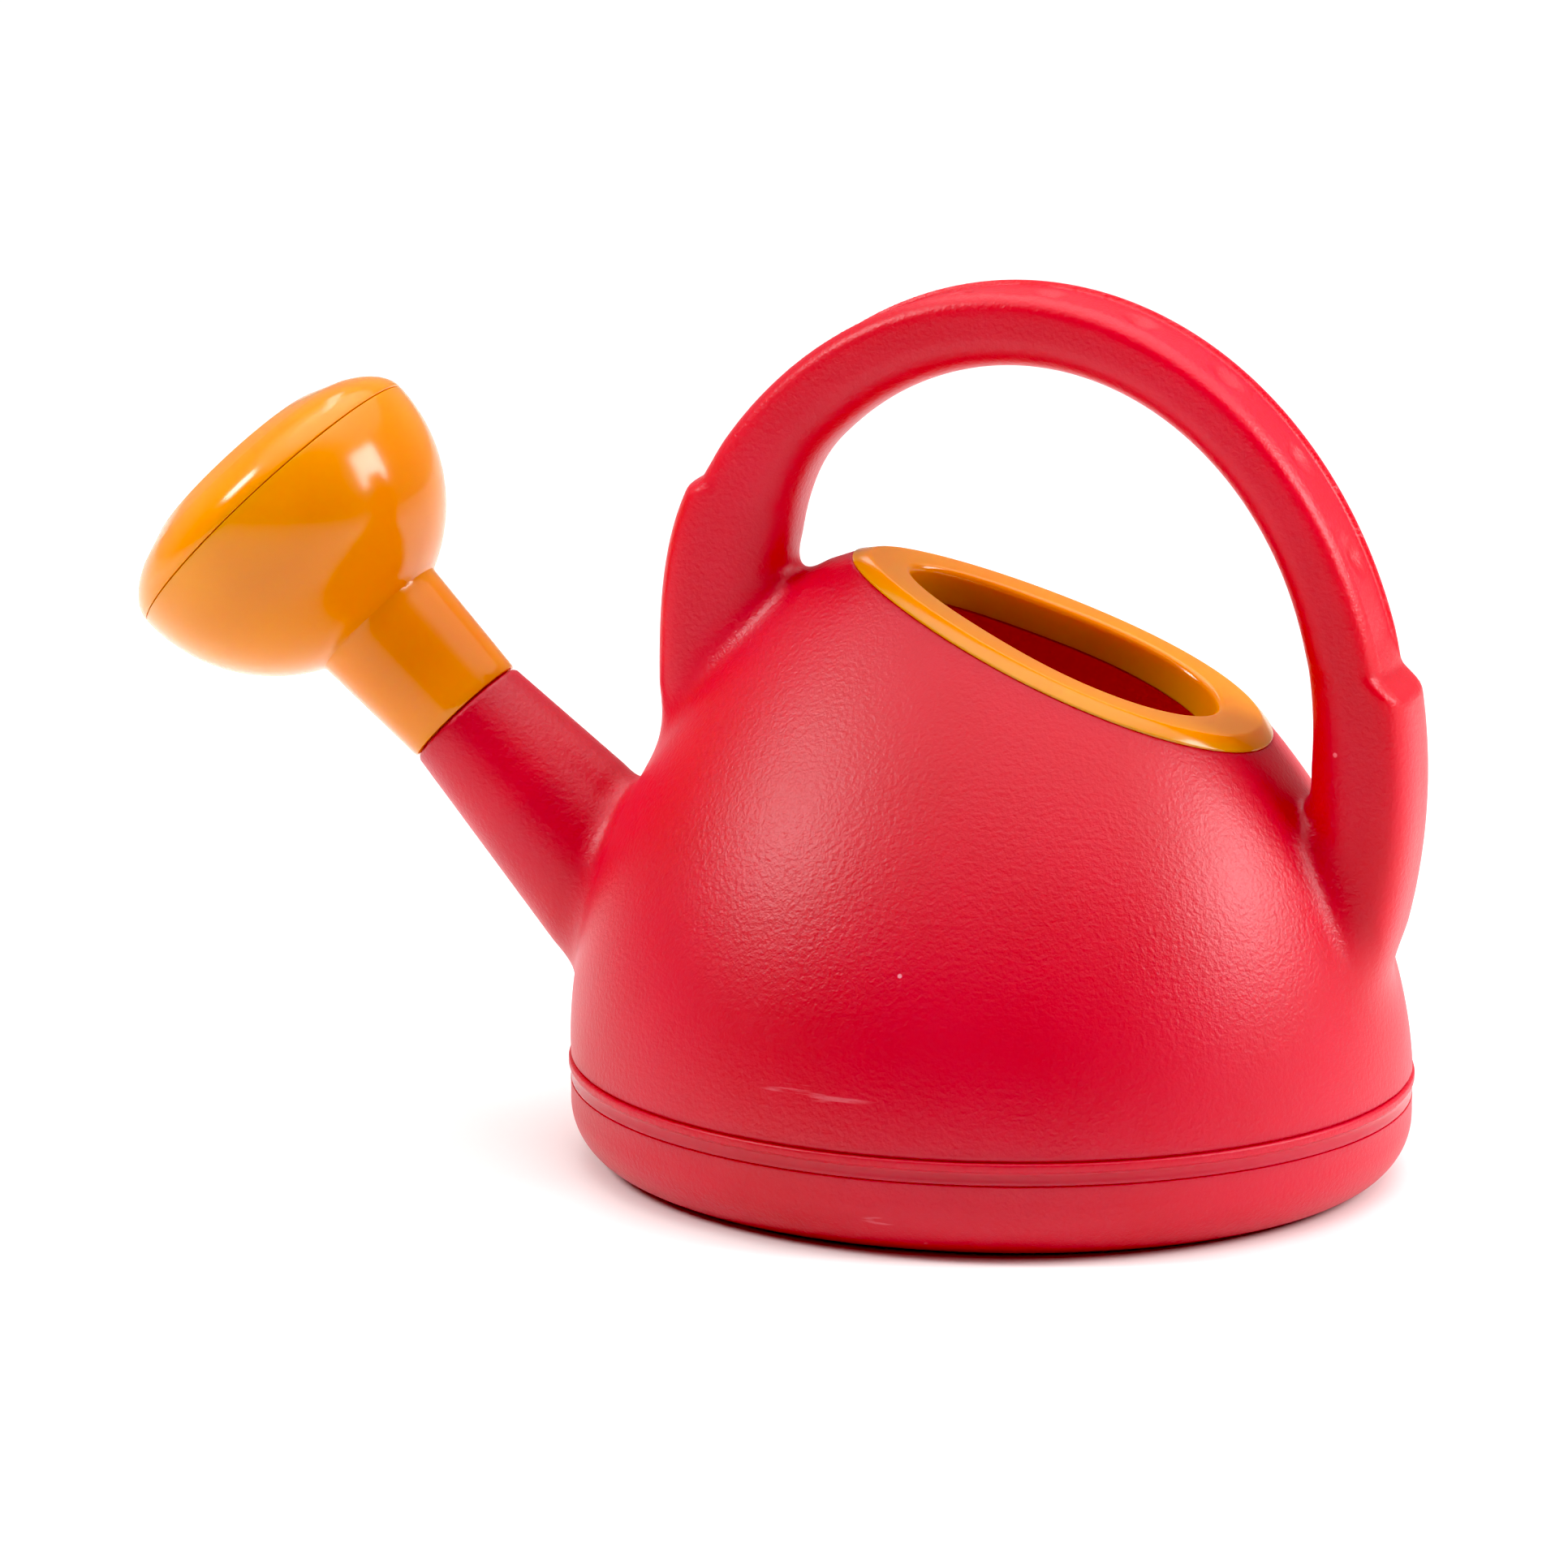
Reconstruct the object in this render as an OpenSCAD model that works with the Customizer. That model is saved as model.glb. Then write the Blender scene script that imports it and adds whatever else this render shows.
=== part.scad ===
// Watering can with an arched handle, an oval filler ring and a push-on rose.
// Millimetres, +Z up, +X towards the back of the handle, the spout points to -X.
// The origin is the centre of the flat underside.

/* [Vessel] */
// Length of the vessel at its widest, along X
body_l = 162; // [138:1:196]
// Width of the vessel at its widest, along Y
body_w = 148; // [124:1:178]
// Height of the dome above the bead, to its apex before the filler is cut
dome_h = 105; // [98:1:126]
// How far the apex of the dome leans towards the spout
dome_lean = 5; // [0:0.5:8]
// Wall of the vessel and of the base pan
wall = 2.2; // [1.6:0.1:3]

/* [Base] */
// Height of the base pan below the bead
base_h = 15.5; // [14:0.5:20]
// Radius of the pan's lower edge
edge_r = 11.5; // [8:0.5:13]
// Height of the bead between pan and dome
bead_h = 4.5; // [3.5:0.1:6]
// How far the bead stands out
bead_out = 0.6; // [0.3:0.1:1.2]
// Depth of the V groove above the bead
groove_d = 0.5; // [0.3:0.1:1]
// Height of the pan's lip inside the dome
lip_h = 4; // [3:0.5:6]
// Thickness of the pan's lip
lip_t = 2; // [1.5:0.1:3]

/* [Filler] */
// Tilt of the filler plane, down towards the back
filler_tilt = 21; // [20:0.5:24]
// Depth of the filler plane below the dome's apex, at the plane's centre
filler_drop = 24.5; // [23:0.5:27]
// Distance of the plane's centre behind the dome's middle
filler_x = 14.5; // [12:0.5:17]
// Width of the ring's band at its ends
ring_band = 11.8; // [9:0.2:13]
// Width of the ring's band at its sides
ring_side = 9.8; // [7:0.2:11]
// Width of the sloping edge round the ring
ring_slope = 3; // [2:0.2:4]
// How far the ring stands above the filler plane
ring_top = 2.2; // [1.5:0.1:3]
// Depth of the ring's skirt below the filler plane
skirt_h = 5; // [3:0.5:8]
// Thickness of the skirt
skirt_t = 2; // [1.5:0.1:2.5]

/* [Spout] */
// Angle of the spout from upright, towards the front
spout_angle = 46; // [42:0.5:50]
// Distance of the spout's mouth in front of the vessel
mouth_x = 26; // [20:0.5:32]
// Height of the spout's mouth
mouth_z = 79; // [76:0.5:84]
// Outer radius of the mouth
mouth_r = 12.7; // [11.5:0.1:15.2]
// Half angle of the spout's taper
spout_taper = 6.2; // [5:0.1:7.5]
// Wall of the spout's mouth
mouth_wall = 2; // [1.5:0.1:2.6]

/* [Rose] */
// Length of the plug inside the mouth
plug_l = 18; // [14:0.5:22]
// Radial clearance of the plug in the mouth
plug_clear = 0.06; // [0.02:0.01:0.1]
// Gap between the neck's shoulder and the mouth
shoulder_gap = 0.25; // [0.2:0.05:0.5]
// How much the neck widens from the mouth to the bulb
neck_flare = 1.5; // [0.5:0.1:3]
// Radius of the bulb
bulb_r = 33.4; // [28:0.1:40]
// Length of the neck, from the mouth to the bulb
neck_l = 25; // [20:0.5:30]
// Height of the domed face above the seam
face_h = 13; // [11:0.1:16]
// Wall of the bulb and of the face
rose_wall = 2; // [1.6:0.1:2.6]
// Diameter of a spray hole
spray_d = 2; // [1.6:0.1:2.4]
// Number of rings of spray holes round the middle one
spray_rings = 3; // [2:1:4]
// Radius of the outermost ring of spray holes
spray_r = 17.4; // [14:0.2:18]

/* [Handle] */
// Distance from the vessel's front to the arch's front face
front_inset = 11.5; // [8:0.5:15]
// How far the arch's back face stands behind the vessel
back_over = 0; // [-1:0.5:2]
// Height where the arch is widest, above the bead
arch_z = 59.5; // [54:0.5:64]
// Height of the arch above its widest place
arch_h = 90.5; // [84:0.5:100]
// Width of the handle
handle_w = 21; // [18:0.5:25]
// Thickness of the grip at the top of the arch
grip_t = 14.8; // [13:0.2:16]
// Thickness of the arch at its widest place
arch_t = 18.5; // [16:0.5:20]
// Depth of the recessed outer strip of the grip at the front leg
strip_d = 1.8; // [1:0.1:2.5]
// How far the back leg stands out behind the grip
back_step = 3.4; // [2:0.2:5]
// How much the front leg thickens inwards at its foot
front_flare = 7; // [3:0.5:9]
// Wall of the hollow handle
handle_wall = 2; // [1.6:0.1:2.6]

/* [Hidden] */

half_l = body_l / 2;
half_w = body_w / 2;
dome_z = base_h + bead_h;
apex_z = dome_z + dome_h;
// Clearance between a piece and what it sits inside, on one body
slack = 0.4;
// Points round each skin of the vessel, and sections up its dome
skin_n = 60;
dome_n = 18;
// Points round the handle, and sections along it
grip_n = 18;
arch_n = 46;
// Sides of the round pieces
fine = 96;

// Triangles between section i and section j of n points each
function band(n, i, j) = [for (k = [0 : n - 1])
    let (a = i * n + k, b = i * n + (k + 1) % n, c = j * n + k, d = j * n + (k + 1) % n)
    each [[a, c, d], [a, d, b]]];
// Closed solid through a list of sections, each a list of points with the same count
module skin(sections) {
    n = len(sections[0]);
    last = len(sections) - 1;
    walls = [for (i = [0 : last - 1]) each band(n, i, i + 1)];
    first_cap = [for (k = [0 : n - 1]) k];
    last_cap = [for (k = [n - 1 : -1 : 0]) last * n + k];
    polyhedron([for (s = sections) each s], concat(walls, [first_cap, last_cap]));
}

// The same, as a ring that closes on itself and has no ends
module ring_skin(sections) {
    n = len(sections[0]);
    count = len(sections);
    polyhedron([for (s = sections) each s], [for (i = [0 : count - 1]) each band(n, i, (i + 1) % count)]);
}

// ---- vessel ----

// The dome at a share t of its height: half length, half width and lean
function dome_x(t) = half_l * pow(1 - pow(t, 1.9), 0.68);
function dome_y(t) = half_w * pow(1 - pow(t, 1.8), 0.95);
function dome_c(t) = -dome_lean * t;
function oval_section(z, x, y, c) = [for (k = [0 : skin_n - 1])
    let (a = 360 * k / skin_n)
    [c + x * cos(a), y * sin(a), z]];
function bead_section(z, out) = oval_section(z, half_l + out, half_w + out, 0);

// The dome's skin, shrunk by inset, from its foot to just under the apex
function dome_sections(inset) = [for (i = [0 : dome_n])
    let (t = sin(86 * i / dome_n))
    oval_section(dome_z + 0.6 + (dome_h - inset) * t,
        max(1, dome_x(t) - inset), max(1, dome_y(t) - inset), dome_c(t))];
module dome() {
    skin(concat(
        [bead_section(base_h, 0), bead_section(dome_z - 0.8, bead_out), bead_section(dome_z, -groove_d)],
        dome_sections(0)));
}
module dome_hollow() {
    skin(concat(
        [bead_section(base_h - 1, -wall), bead_section(dome_z, -wall)],
        dome_sections(wall)));
}

module filler_frame() {
    translate([filler_x, 0, apex_z - filler_drop])
        rotate([0, filler_tilt, 0])
            children();
}
module above_filler() {
    filler_frame()
        translate([-body_l, -body_w, 0])
            cube([2 * body_l, 2 * body_w, body_l]);
}
module spout_frame() {
    translate([-half_l - mouth_x, 0, mouth_z])
        rotate([0, -spout_angle, 0])
            children();
}

module vessel_shell() {
    color("crimson")
        difference() {
            dome();
            dome_hollow();
            above_filler();
            spout_frame()
                translate([0, 0, -half_l])
                    cylinder(r = mouth_r - mouth_wall, h = half_l, $fn = fine);
        }
}

// ---- base pan ----

function pan_section(inset, z) = oval_section(z, half_l - inset, half_w - inset, 0);
// The lower edge's quarter circle, at a radius shrunk by inset
function pan_edge(inset) = [for (a = [0 : 15 : 90])
    pan_section(edge_r - (edge_r - inset) * sin(a), edge_r - (edge_r - inset) * cos(a))];
module base_pan() {
    lip_out = wall + slack;
    lip_in = lip_out + lip_t;
    inner_edge = pan_edge(wall);
    color("firebrick")
        skin(concat(
            pan_edge(0),
            [pan_section(0, base_h), pan_section(lip_out, base_h),
                pan_section(lip_out, base_h + lip_h), pan_section(lip_in, base_h + lip_h),
                pan_section(lip_in, base_h - 1), pan_section(wall, base_h - 3.5)],
            [for (i = [len(inner_edge) - 1 : -1 : 0]) inner_edge[i]]));
}

// ---- handle ----

arch_rx = half_l - (front_inset - back_over) / 2;
arch_x = (front_inset + back_over) / 2;
arch_foot = dome_z + arch_z;
// The gap for the hand is a smaller, rounder ellipse, whose middle is higher
hand_lift = 10;
hand_x = arch_x + 1.5;
hand_rx = arch_rx - arch_t;
hand_rz = arch_h - grip_t - hand_lift;
// The shoulders where the recessed strip ends, as angles round the arch
shoulder_back = 12;
shoulder_front = 146;
leg_back = -42;
leg_front = 200;

function ease(a, b, v) = let (s = min(1, max(0, (v - a) / (b - a)))) s * s * (3 - 2 * s);
function grip_share(u) = ease(shoulder_back - 1.5, shoulder_back + 2.5, u)
    - ease(shoulder_front - 2, shoulder_front + 1, u);
// Legs run on straight below the arch, and the back one curls in to the vessel
function leg_down(u) = (u < 0 ? -u : u > 180 ? u - 180 : 0) * 1.45;
function curl(u) = u < 0 ? -0.0045 * leg_down(u) * leg_down(u) : 0;
function outer_point(u) = let (v = min(180, max(0, u)),
        d = (u < 90 ? back_step : strip_d) * (1 - grip_share(u)))
    [arch_x + (arch_rx + d) * cos(v) + curl(u) + 6 * ease(146, 180, u),
        arch_foot + (arch_h + d) * sin(v) - leg_down(u)];
function inner_point(u) = let (v = min(180, max(0, u)))
    [hand_x + hand_rx * cos(v) + curl(u) + front_flare * ease(132, 168, u),
        arch_foot + hand_lift + hand_rz * sin(v) - leg_down(u)];

// One section of the handle: boxy outside, round inside
function grip_section(u, inset) =
    let (o = outer_point(u), i = inner_point(u), m = (o + i) / 2, h = norm(o - i) / 2, d = (o - i) / (2 * h))
    [for (k = [0 : grip_n - 1])
        let (a = 360 * k / grip_n,
            p = cos(a) > 0 ? 2 / 3.6 : 2 / 2.3,
            r = (h - inset) * sign(cos(a)) * pow(abs(cos(a)), p),
            y = (handle_w / 2 - inset) * sign(sin(a)) * pow(abs(sin(a)), 2 / 2.6))
        [m[0] + d[0] * r, y, m[1] + d[1] * r]];
module arch(inset) {
    skin([for (i = [0 : arch_n])
        grip_section(leg_back + (leg_front - leg_back) * i / arch_n, inset)]);
}
module handle() {
    color("crimson")
        difference() {
            arch(0);
            arch(handle_wall);
            dome();
        }
}

// ---- spout ----

// The spout runs on until its axis is this far inside the vessel's front
spout_sink = 18;
spout_l = (mouth_x + spout_sink) / sin(spout_angle);
function spout_r(s) = mouth_r + s * tan(spout_taper);
module spout() {
    color("crimson")
        difference() {
            spout_frame()
                translate([0, 0, -spout_l])
                    cylinder(r1 = spout_r(spout_l), r2 = mouth_r, h = spout_l, $fn = fine);
            spout_frame() {
                translate([0, 0, -plug_l - 2])
                    cylinder(r = mouth_r - mouth_wall, h = plug_l + 3, $fn = fine);
                translate([0, 0, -spout_l - 1])
                    cylinder(r1 = spout_r(spout_l) - 2 * mouth_wall, r2 = mouth_r - mouth_wall,
                        h = spout_l + 1 - plug_l - 2 + 0.01, $fn = fine);
            }
            dome();
        }
}

// ---- filler ring ----

// How far the dome reaches from the plane's centre, at angle a in the plane
function in_dome(p) = let (t = (p[2] - dome_z - 0.6) / dome_h)
    t < 1 && pow((p[0] - dome_c(t)) / dome_x(t), 2) + pow(p[1] / dome_y(t), 2) < 1;
function plane_point(a, r) = [filler_x + r * cos(a) * cos(filler_tilt), r * sin(a),
    apex_z - filler_drop - r * cos(a) * sin(filler_tilt)];
function reach(a, low, high, steps) = steps == 0 ? low : let (mid = (low + high) / 2)
    in_dome(plane_point(a, mid)) ? reach(a, mid, high, steps - 1) : reach(a, low, mid, steps - 1);

// Outline of the ring's band, as distances in from its outer edge and heights
function ring_profile(w) = [[0, 0], [0, 0.5], [ring_slope, ring_top], [w - 2, ring_top],
    [w - 0.8, ring_top - 0.5], [w, ring_top - 1.6], [w, -skirt_h], [w - skirt_t, -skirt_h], [w - skirt_t, 0]];
module filler_ring() {
    color("orange")
        filler_frame()
            ring_skin([for (k = [0 : skin_n - 1])
                let (a = -360 * k / skin_n, edge = reach(a, 5, half_l, 16),
                    w = ring_band * cos(a) * cos(a) + ring_side * sin(a) * sin(a))
                [for (p = ring_profile(w)) [(edge - p[0]) * cos(a), (edge - p[0]) * sin(a), p[1]]]]);
}

// ---- rose ----

seam_l = neck_l + sqrt(bulb_r * bulb_r - (mouth_r + neck_flare) * (mouth_r + neck_flare));
neck_r = mouth_r + neck_flare;
plug_r = mouth_r - mouth_wall - plug_clear;
plug_bore = plug_r - rose_wall;

module rose_bulb() {
    color("orange")
        spout_frame()
            difference() {
                union() {
                    translate([0, 0, -plug_l])
                        cylinder(r = plug_r, h = plug_l + shoulder_gap + 1, $fn = fine);
                    translate([0, 0, shoulder_gap])
                        cylinder(r1 = mouth_r, r2 = neck_r, h = neck_l - shoulder_gap, $fn = fine);
                    translate([0, 0, seam_l])
                        sphere(bulb_r, $fn = fine);
                }
                translate([0, 0, seam_l])
                    sphere(bulb_r - rose_wall, $fn = fine);
                translate([0, 0, -plug_l - 1])
                    cylinder(r = plug_bore, h = plug_l + seam_l, $fn = fine);
                translate([-body_l, -body_l, seam_l])
                    cube(2 * body_l);
            }
}

// Radius of a ring of spray holes; ring i holds 6 * i of them
function spray_ring_r(i) = i * spray_r / spray_rings;
module rose_face() {
    inner_r = bulb_r - rose_wall;
    color("orange")
        spout_frame()
            translate([0, 0, seam_l])
                difference() {
                    union() {
                        scale([1, 1, face_h / bulb_r])
                            sphere(bulb_r, $fn = fine);
                        translate([0, 0, -4])
                            cylinder(r = inner_r - slack, h = 5, $fn = fine);
                    }
                    scale([1, 1, (face_h - rose_wall) / (bulb_r - 2 * rose_wall)])
                        sphere(bulb_r - 2 * rose_wall, $fn = fine);
                    translate([0, 0, -face_h - 1])
                        cylinder(r = bulb_r - 2 * rose_wall, h = face_h + 1, $fn = fine);
                    difference() {
                        translate([0, 0, -2 * face_h])
                            cylinder(r = 2 * bulb_r, h = 2 * face_h, $fn = fine);
                        translate([0, 0, -4])
                            cylinder(r = inner_r - slack, h = 5, $fn = fine);
                    }
                    for (i = [0 : spray_rings])
                        for (k = [0 : max(1, 6 * i) - 1])
                            rotate([0, 0, 360 * k / max(1, 6 * i)])
                                translate([spray_ring_r(i), 0, -1])
                                    cylinder(d = spray_d, h = face_h + 2, $fn = 24);
                }
}

vessel_shell();
base_pan();
handle();
spout();
filler_ring();
rose_bulb();
rose_face();
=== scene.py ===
import math

import bpy
import numpy as np
from mathutils import Matrix, Vector
from mathutils.bvhtree import BVHTree


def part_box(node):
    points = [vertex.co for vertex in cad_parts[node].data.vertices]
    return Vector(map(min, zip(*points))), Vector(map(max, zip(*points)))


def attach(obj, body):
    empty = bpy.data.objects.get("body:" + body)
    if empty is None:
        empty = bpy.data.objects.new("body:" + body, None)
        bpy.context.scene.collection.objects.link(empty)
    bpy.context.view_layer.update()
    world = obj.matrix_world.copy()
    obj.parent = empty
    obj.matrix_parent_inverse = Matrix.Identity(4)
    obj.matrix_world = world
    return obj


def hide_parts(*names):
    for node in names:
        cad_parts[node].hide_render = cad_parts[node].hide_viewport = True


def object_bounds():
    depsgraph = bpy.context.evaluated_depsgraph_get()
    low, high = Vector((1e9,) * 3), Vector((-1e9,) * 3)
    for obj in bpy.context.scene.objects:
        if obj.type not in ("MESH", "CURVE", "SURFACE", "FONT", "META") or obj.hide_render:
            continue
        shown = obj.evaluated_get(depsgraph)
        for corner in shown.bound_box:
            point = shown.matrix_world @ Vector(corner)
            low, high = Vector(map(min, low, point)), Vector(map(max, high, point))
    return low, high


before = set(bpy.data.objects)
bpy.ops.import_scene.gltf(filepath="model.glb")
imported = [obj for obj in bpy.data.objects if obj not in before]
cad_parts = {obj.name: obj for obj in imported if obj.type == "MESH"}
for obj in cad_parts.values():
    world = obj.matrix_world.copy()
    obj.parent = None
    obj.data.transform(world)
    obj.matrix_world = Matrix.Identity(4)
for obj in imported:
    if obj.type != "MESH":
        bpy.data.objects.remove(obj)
cadBox = [list(corner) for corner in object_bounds()]
print("frame loaded")

mm = 0.001  # shapes are worked out in millimetres and scaled when they become objects


# camera, lights and floor

view = {
    "place": (0.54123, -1.63833, 0.49114), "target": (-0.04187, 0.0, 0.07011),
    "lens": 214.77, "sensor": 36.0,
}


def aimAt(obj, target):
    obj.rotation_euler = (Vector(target) - obj.location).to_track_quat("-Z", "Y").to_euler()


def makeCamera():
    data = bpy.data.cameras.new("view")
    data.lens = view["lens"]
    data.sensor_width = view["sensor"]
    data.clip_end = 20
    camera = bpy.data.objects.new("view", data)
    bpy.context.scene.collection.objects.link(camera)
    camera.location = view["place"]
    aimAt(camera, view["target"])
    bpy.context.scene.camera = camera


makeCamera()

# each softbox: turn round the can from the front, height angle, distance, width, height, watts
softboxes = {
    "leftBox": {"turn": -60, "lift": 41, "away": 0.95, "width": 0.24, "height": 0.28, "watts": 5.2},
    "rightBox": {"turn": 98, "lift": 28, "away": 0.95, "width": 0.40, "height": 0.36, "watts": 6.4},
    "backBox": {"turn": -146, "lift": 50, "away": 1.00, "width": 0.10, "height": 0.50, "watts": 0.5},
}
topLight = {"turn": 140, "lift": 70, "strength": 1.0, "softness": 75}
# how bright the studio is behind the can, in front of it and above it, and where it changes
surround = {
    "back": 0.36, "front": 0.03, "top": 1.5,
    "fadeFrom": -0.55, "fadeTo": 0.15, "topFrom": 0.60, "topTo": 0.92,
}
grade = {"black": 0.018, "white": 0.97}  # the darkest and lightest tones of the finished picture


def wayFrom(turn, lift):
    turn, lift = math.radians(turn), math.radians(lift)
    return Vector((math.sin(turn) * math.cos(lift), -math.cos(turn) * math.cos(lift), math.sin(lift)))


def makeLights():
    middle = Vector(((cadBox[0][0] + cadBox[1][0]) / 2, 0, cadBox[1][2] / 2))
    for name, box in softboxes.items():
        data = bpy.data.lights.new(name, "AREA")
        data.shape = "RECTANGLE"
        data.size = box["width"]
        data.size_y = box["height"]
        data.energy = box["watts"]
        lamp = bpy.data.objects.new(name, data)
        bpy.context.scene.collection.objects.link(lamp)
        lamp.location = middle + wayFrom(box["turn"], box["lift"]) * box["away"]
        aimAt(lamp, middle)
    data = bpy.data.lights.new("topLight", "SUN")
    data.energy = topLight["strength"]
    data.angle = math.radians(topLight["softness"])
    lamp = bpy.data.objects.new("topLight", data)
    bpy.context.scene.collection.objects.link(lamp)
    lamp.location = middle + wayFrom(topLight["turn"], topLight["lift"])
    aimAt(lamp, middle)


def makeSurround():
    world = bpy.data.worlds.new("studio")
    bpy.context.scene.world = world
    world.use_nodes = True
    nodes, links = world.node_tree.nodes, world.node_tree.links
    place = nodes.new("ShaderNodeTexCoord")
    split = nodes.new("ShaderNodeSeparateXYZ")
    fade = nodes.new("ShaderNodeMapRange")
    fade.interpolation_type = "SMOOTHSTEP"
    fade.inputs["From Min"].default_value = surround["fadeFrom"]
    fade.inputs["From Max"].default_value = surround["fadeTo"]
    fade.inputs["To Min"].default_value = surround["front"]
    fade.inputs["To Max"].default_value = surround["back"]
    links.new(place.outputs["Generated"], split.inputs[0])
    links.new(split.outputs["Y"], fade.inputs["Value"])
    above = nodes.new("ShaderNodeMapRange")
    above.interpolation_type = "SMOOTHSTEP"
    above.inputs["From Min"].default_value = surround["topFrom"]
    above.inputs["From Max"].default_value = surround["topTo"]
    above.inputs["To Max"].default_value = surround["top"]
    links.new(split.outputs["Z"], above.inputs["Value"])
    total = nodes.new("ShaderNodeMath")
    links.new(fade.outputs["Result"], total.inputs[0])
    links.new(above.outputs["Result"], total.inputs[1])
    links.new(total.outputs[0], nodes["Background"].inputs["Strength"])
    nodes["Background"].inputs["Color"].default_value = (1, 1, 1, 1)


def setGrade():
    look = bpy.context.scene.view_settings
    look.view_transform = "Standard"
    look.use_curve_mapping = True
    look.curve_mapping.black_level = (grade["black"],) * 3
    look.curve_mapping.white_level = (grade["white"],) * 3
    look.curve_mapping.update()


makeLights()
makeSurround()
setGrade()
print("camera and lights ready")


# finishes

class NodeDesk:
    # small helper that lays out a material's nodes
    def __init__(self, name):
        self.material = bpy.data.materials.new(name)
        self.material.use_nodes = True
        self.nodes = self.material.node_tree.nodes
        self.links = self.material.node_tree.links
        self.shader = self.nodes["Principled BSDF"]
        self.place = self.nodes.new("ShaderNodeTexCoord").outputs["Object"]

    def noise(self, scale, detail=2.0, roughness=0.5, stretch=None):
        node = self.nodes.new("ShaderNodeTexNoise")
        node.inputs["Scale"].default_value = scale
        node.inputs["Detail"].default_value = detail
        node.inputs["Roughness"].default_value = roughness
        source = self.place
        if stretch:
            mapping = self.nodes.new("ShaderNodeMapping")
            mapping.inputs["Scale"].default_value = stretch
            self.links.new(source, mapping.inputs["Vector"])
            source = mapping.outputs["Vector"]
        self.links.new(source, node.inputs["Vector"])
        return node.outputs["Fac"]

    def cells(self, scale):
        node = self.nodes.new("ShaderNodeTexVoronoi")
        node.inputs["Scale"].default_value = scale
        self.links.new(self.place, node.inputs["Vector"])
        return node.outputs["Distance"]

    def spread(self, value, fromLow, fromHigh, toLow, toHigh):
        node = self.nodes.new("ShaderNodeMapRange")
        node.inputs["From Min"].default_value = fromLow
        node.inputs["From Max"].default_value = fromHigh
        node.inputs["To Min"].default_value = toLow
        node.inputs["To Max"].default_value = toHigh
        self.links.new(value, node.inputs["Value"])
        return node.outputs["Result"]

    def patch(self, centre, size):
        # 1 inside an oval patch round a point, 0 outside it
        node = self.nodes.new("ShaderNodeMapping")
        node.inputs["Location"].default_value = [-c / s for c, s in zip(centre, size)]
        node.inputs["Scale"].default_value = [1 / (s * mm) for s in size]
        self.links.new(self.place, node.inputs["Vector"])
        length = self.nodes.new("ShaderNodeVectorMath")
        length.operation = "LENGTH"
        self.links.new(node.outputs["Vector"], length.inputs[0])
        return self.spread(length.outputs["Value"], 0.7, 1.0, 1, 0)

    def height(self):
        node = self.nodes.new("ShaderNodeSeparateXYZ")
        self.links.new(self.place, node.inputs[0])
        return node.outputs["Z"]

    def math(self, kind, first, second):
        node = self.nodes.new("ShaderNodeMath")
        node.operation = kind
        for socket, value in zip(node.inputs, (first, second)):
            if isinstance(value, (int, float)):
                socket.default_value = value
            else:
                self.links.new(value, socket)
        return node.outputs[0]

    def mix(self, share, first, second):
        node = self.nodes.new("ShaderNodeMix")
        node.data_type = "RGBA"
        self.links.new(share, node.inputs["Factor"])
        for socket, value in ((node.inputs["A"], first), (node.inputs["B"], second)):
            if isinstance(value, tuple):
                socket.default_value = (*value, 1)
            else:
                self.links.new(value, socket)
        return node.outputs["Result"]

    def bump(self, value, depth, strength, after=None):
        node = self.nodes.new("ShaderNodeBump")
        node.inputs["Strength"].default_value = strength
        node.inputs["Distance"].default_value = depth
        self.links.new(value, node.inputs["Height"])
        if after is not None:
            self.links.new(after, node.inputs["Normal"])
        return node.outputs["Normal"]

    def plug(self, socket, value):
        self.links.new(value, self.shader.inputs[socket])

    def letLightIn(self, finish):
        # how much the plastic shines, and how far light goes into it
        inputs = self.shader.inputs
        inputs["Specular IOR Level"].default_value = finish["specular"]
        inputs["Subsurface Weight"].default_value = finish["glow"]
        inputs["Subsurface Radius"].default_value = finish["glowReach"]
        inputs["Subsurface Scale"].default_value = finish["glowDepth"]


redFinish = {
    "deep": (0.53, 0.003, 0.014), "bright": (0.60, 0.005, 0.026), "scuff": (0.85, 0.25, 0.30),
    "peel": 1050.0, "peelDepth": 0.00028, "satin": (0.36, 0.42), "polished": 0.20,
    "specular": 0.40, "glow": 0.6, "glowReach": (1.0, 0.1, 0.1), "glowDepth": 0.012,
}

# rubbed places: centre and half sizes in millimetres, how long the strokes are and how many show
rubbed = {
    "lowFront": {
        "centre": (-10.5, -71.5, 30.6), "size": (14.0, 6.0, 1.7), "stroke": (70, 90, 900), "share": 0.54,
    },
    "panFront": {
        "centre": (4.5, -73.0, 7.7), "size": (6.0, 4.0, 0.9), "stroke": (110, 90, 900), "share": 0.50,
    },
}


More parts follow.
